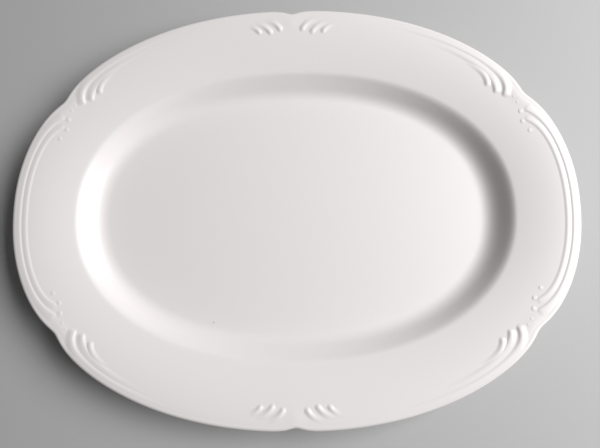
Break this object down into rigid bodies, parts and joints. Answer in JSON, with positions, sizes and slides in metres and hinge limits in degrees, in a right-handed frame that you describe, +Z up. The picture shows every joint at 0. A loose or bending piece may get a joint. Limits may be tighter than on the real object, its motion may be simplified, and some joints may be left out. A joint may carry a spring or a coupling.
{
  "type": "serving platter",
  "caption": "Oval white porcelain serving platter with a flat well, a wide rim, a lobed edge with shallow notches, and raised threads, combs and sprays near the edge.",
  "frame": {"origin": "centre of the foot ring, on the surface that the platter stands on", "axes": "+X along the length of the oval, +Y across it to the back, +Z up"},
  "size_m": [0.356, 0.2652, 0.0266],
  "materials": {
    "glazed_porcelain": "white porcelain under a clear, smooth, glossy glaze",
    "bare_porcelain": "unglazed, fine and matt, slightly rough"
  },
  "bodies": {
    "root": {"well_floor": "glazed_porcelain", "foot_ring": "bare_porcelain", "cove_wall": "glazed_porcelain", "rim_flange": "glazed_porcelain", "rim_lip": "glazed_porcelain", "end_threads_right": "glazed_porcelain", "end_threads_left": "glazed_porcelain", "corner_comb_back_right": "glazed_porcelain", "corner_comb_back_left": "glazed_porcelain", "corner_comb_front_left": "glazed_porcelain", "corner_comb_front_right": "glazed_porcelain", "corner_beads_back_right": "glazed_porcelain", "corner_beads_back_left": "glazed_porcelain", "corner_beads_front_left": "glazed_porcelain", "corner_beads_front_right": "glazed_porcelain", "centre_spray_back_right": "glazed_porcelain", "centre_spray_back_left": "glazed_porcelain", "centre_spray_front_left": "glazed_porcelain", "centre_spray_front_right": "glazed_porcelain"}
  },
  "joints": []
}
